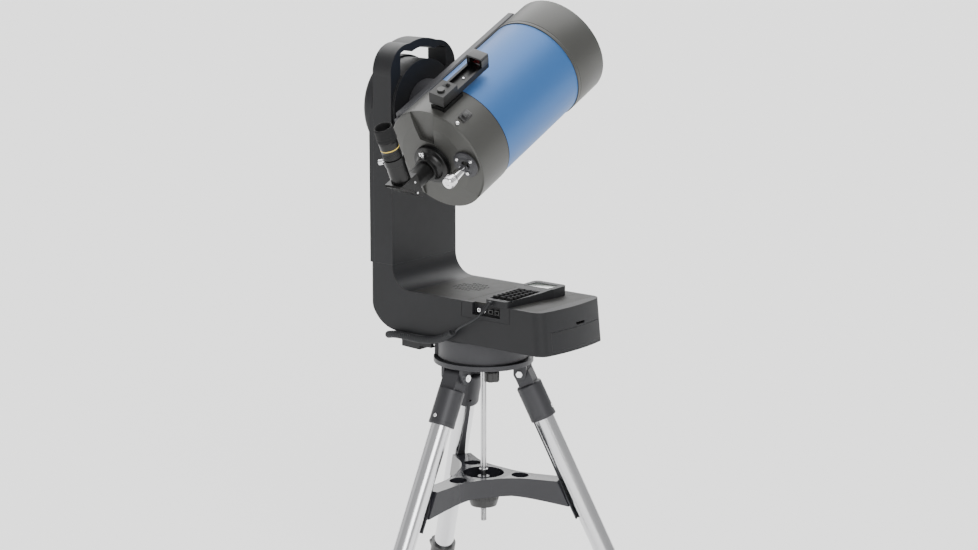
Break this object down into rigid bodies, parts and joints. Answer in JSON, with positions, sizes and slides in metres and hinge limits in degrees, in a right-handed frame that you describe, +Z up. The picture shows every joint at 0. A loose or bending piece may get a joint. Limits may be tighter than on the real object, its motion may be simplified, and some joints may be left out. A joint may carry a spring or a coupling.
{
  "type": "schmidt-cassegrain telescope",
  "caption": "Catadioptric telescope on a computerised single-arm altazimuth mount and folding metal tripod, with star diagonal, eyepiece, dot finder and corded hand controller.",
  "frame": {"origin": "on the floor, in the middle of the object's box with the tube at rest", "axes": "+Z up; +X from the arm towards the front of the base; +Y the horizontal direction the tube points in"},
  "size_m": [0.728, 0.7155, 1.4398],
  "materials": {
    "dark_housing": "satin, finely textured",
    "top_cover": "satin, finely textured",
    "black_paint": "satin paint",
    "cell_paint": "satin paint",
    "tube_blue": "metallic paint",
    "leg_aluminium": "polished, drawn",
    "bright_chrome": "polished",
    "steel": "turned",
    "gear_brass": "machined",
    "gloss_black": "gloss",
    "knob_black": "satin",
    "black_anodised": "anodised, satin",
    "mirror_coating": "polished",
    "corrector_glass": "coated",
    "key_rubber": "matte",
    "cord_black": "satin",
    "board_green": "solder mask",
    "socket_black": "gloss",
    "speaker_black": "matte",
    "battery_wrap": "gloss"
  },
  "bodies": {
    "stand": {"tripod_head": "black_paint", "leg_pivot_bolts": "bright_chrome", "centre_rod": "steel", "drive_drum": "black_paint", "azimuth_bearing": "steel", "azimuth_wheel": "gear_brass"},
    "base": {"base_housing": "dark_housing", "base_top_cover": "top_cover", "battery_pack": "battery_wrap", "circuit_board": "board_green", "speaker": "speaker_black", "port_sockets": "socket_black", "azimuth_worm": "gear_brass", "arm_housing": "dark_housing", "arm_outer_cover": "dark_housing", "altitude_worm": "gear_brass", "handset_shell": "dark_housing", "cord_lead": "cord_black", "cord_coil": "cord_black", "cord_plug": "cord_black"},
    "telescope": {"altitude_hub": "black_paint", "dovetail_rail": "black_paint", "optical_tube": "tube_blue", "front_cell": "cell_paint", "rear_cell": "cell_paint", "corrector_plate": "corrector_glass", "secondary_mirror": "mirror_coating", "baffle_tube": "black_anodised", "focus_plate": "black_anodised", "visual_back": "black_anodised", "finder_body": "black_anodised"},
    "focus_knob": {"focus_knob": "bright_chrome"},
    "mirror": {"primary_mirror": "mirror_coating", "mirror_carrier": "black_anodised"},
    "diagonal": {"star_diagonal": "black_anodised"},
    "diagonal_screw": {"diagonal_screw": "bright_chrome"},
    "eyepiece": {"eyepiece": "black_anodised"},
    "finder_dial": {"finder_dial": "black_anodised"},
    "keypad": {"handset_keypad": "key_rubber"},
    "battery_door": {"battery_door": "dark_housing"},
    "spreader": {"spreader_tray": "gloss_black"},
    "tension_knob": {"tension_knob": "knob_black"},
    "leg_1": {"leg_casting_1": "black_paint", "leg_tube_1": "leg_aluminium", "leg_collar_1": "knob_black"},
    "lower_leg_1": {"leg_extension_1": "leg_aluminium"},
    "leg_lock_1": {"leg_lock_1": "knob_black"},
    "clamp_knob_1": {"clamp_knob_1": "knob_black"},
    "leg_2": {"leg_casting_2": "black_paint", "leg_tube_2": "leg_aluminium", "leg_collar_2": "knob_black"},
    "lower_leg_2": {"leg_extension_2": "leg_aluminium"},
    "leg_lock_2": {"leg_lock_2": "knob_black"},
    "clamp_knob_2": {"clamp_knob_2": "knob_black"},
    "leg_3": {"leg_casting_3": "black_paint", "leg_tube_3": "leg_aluminium", "leg_collar_3": "knob_black"},
    "lower_leg_3": {"leg_extension_3": "leg_aluminium"},
    "leg_lock_3": {"leg_lock_3": "knob_black"},
    "clamp_knob_3": {"clamp_knob_3": "knob_black"}
  },
  "joints": [
    {"name": "azimuth", "type": "hinge", "parent": "stand", "child": "base", "pos_m": [-0.013, 0.059, 0.72754], "axis": [0, 0, 1], "range_deg": [-180, 180]},
    {"name": "altitude", "type": "hinge", "parent": "base", "child": "telescope", "pos_m": [-0.1807, 0.059, 1.21584], "axis": [1, 0, 0], "range_deg": [-40.5, 64.5]},
    {"name": "focus", "type": "hinge", "parent": "telescope", "child": "focus_knob", "pos_m": [0.0832, -0.12152, 1.12974], "axis": [0, 0.9026, 0.4305], "range_deg": [-3600, 3600]},
    {"name": "mirror_travel", "type": "slide", "parent": "telescope", "child": "mirror", "axis": [0, 0.9026, 0.4305], "range_m": [-0.0076, 0.0076]},
    {"name": "diagonal_turn", "type": "hinge", "parent": "telescope", "child": "diagonal", "pos_m": [-0.0028, -0.1486, 1.11682], "axis": [0, 0.9026, 0.4305], "range_deg": [-180, 180]},
    {"name": "diagonal_screw_turn", "type": "hinge", "parent": "diagonal", "child": "diagonal_screw", "pos_m": [-0.0028, -0.2432, 1.15258], "axis": [-0.8984, -0.3964, -0.1891], "range_deg": [0, 720]},
    {"name": "eyepiece_pull", "type": "slide", "parent": "diagonal", "child": "eyepiece", "axis": [0, -0.4305, 0.9026], "range_m": [0, 0.038]},
    {"name": "finder_dial_turn", "type": "hinge", "parent": "telescope", "child": "finder_dial", "pos_m": [0.0367, -0.13984, 1.28431], "axis": [0.2588, -0.4158, 0.8718], "range_deg": [0, 270]},
    {"name": "keypad_press", "type": "slide", "parent": "base", "child": "keypad", "axis": [0, 0, -1], "range_m": [0, 0.0008], "stiffness_N_per_m": 800, "springref_m": -0.002},
    {"name": "battery_door_open", "type": "hinge", "parent": "base", "child": "battery_door", "pos_m": [0.2423, 0.0665, 0.74154], "axis": [0, 1, 0], "range_deg": [0, 95]},
    {"name": "spreader_slide", "type": "slide", "parent": "stand", "child": "spreader", "axis": [0, 0, -1], "range_m": [0, 0.0141]},
    {"name": "tension_knob_turn", "type": "hinge", "parent": "spreader", "child": "tension_knob", "pos_m": [-0.013, 0.059, 0.36054], "axis": [0, 0, 1], "range_deg": [-2520, 0]},
    {"name": "leg_fold_1", "type": "hinge", "parent": "stand", "child": "leg_1", "pos_m": [-0.01869, -0.02781, 0.65254], "axis": [0.9979, -0.0654, 0], "range_deg": [0, 0.91]},
    {"name": "leg_extend_1", "type": "slide", "parent": "leg_1", "child": "lower_leg_1", "axis": [-0.0276, -0.4217, -0.9063], "range_m": [0, 0.33]},
    {"name": "leg_lock_turn_1", "type": "hinge", "parent": "leg_1", "child": "leg_lock_1", "pos_m": [-0.03761, -0.31648, 0.13865], "axis": [-0.0593, -0.9044, 0.4226], "range_deg": [0, 360]},
    {"name": "leg_fold_2", "type": "hinge", "parent": "stand", "child": "leg_2", "pos_m": [0.06503, 0.09748, 0.65254], "axis": [-0.4423, 0.8969, 0], "range_deg": [0, 0.91]},
    {"name": "leg_extend_2", "type": "slide", "parent": "leg_2", "child": "lower_leg_2", "axis": [0.379, 0.1869, -0.9063], "range_m": [0, 0.33]},
    {"name": "leg_lock_turn_2", "type": "hinge", "parent": "leg_2", "child": "leg_lock_2", "pos_m": [0.32448, 0.22543, 0.13865], "axis": [0.8128, 0.4008, 0.4226], "range_deg": [0, 360]},
    {"name": "leg_fold_3", "type": "hinge", "parent": "stand", "child": "leg_3", "pos_m": [-0.08534, 0.10733, 0.65254], "axis": [-0.5556, -0.8315, 0], "range_deg": [0, 0.91]},
    {"name": "leg_extend_3", "type": "slide", "parent": "leg_3", "child": "lower_leg_3", "axis": [-0.3514, 0.2348, -0.9063], "range_m": [0, 0.33]},
    {"name": "leg_lock_turn_3", "type": "hinge", "parent": "leg_3", "child": "leg_lock_3", "pos_m": [-0.32587, 0.26805, 0.13865], "axis": [-0.7536, 0.5035, 0.4226], "range_deg": [0, 360]},
    {"name": "clamp_knob_turn_1", "type": "hinge", "parent": "stand", "child": "clamp_knob_1", "pos_m": [0.03689, 0.02567, 0.64954], "axis": [0, 0, 1], "range_deg": [0, 720]},
    {"name": "clamp_knob_turn_2", "type": "hinge", "parent": "stand", "child": "clamp_knob_2", "pos_m": [-0.00908, 0.11887, 0.64954], "axis": [0, 0, 1], "range_deg": [0, 720]},
    {"name": "clamp_knob_turn_3", "type": "hinge", "parent": "stand", "child": "clamp_knob_3", "pos_m": [-0.06681, 0.03246, 0.64954], "axis": [0, 0, 1], "range_deg": [0, 720]}
  ],
  "couplings": [
    {"joint": "mirror_travel", "follows": "focus", "m_per_rad": 0.00011937},
    {"joint": "spreader_slide", "follows": "tension_knob_turn", "m_per_rad": -0.00031831},
    {"joint": "leg_fold_1", "follows": "tension_knob_turn", "ratio": -0.00035714},
    {"joint": "leg_fold_2", "follows": "tension_knob_turn", "ratio": -0.00035714},
    {"joint": "leg_fold_3", "follows": "tension_knob_turn", "ratio": -0.00035714}
  ]
}
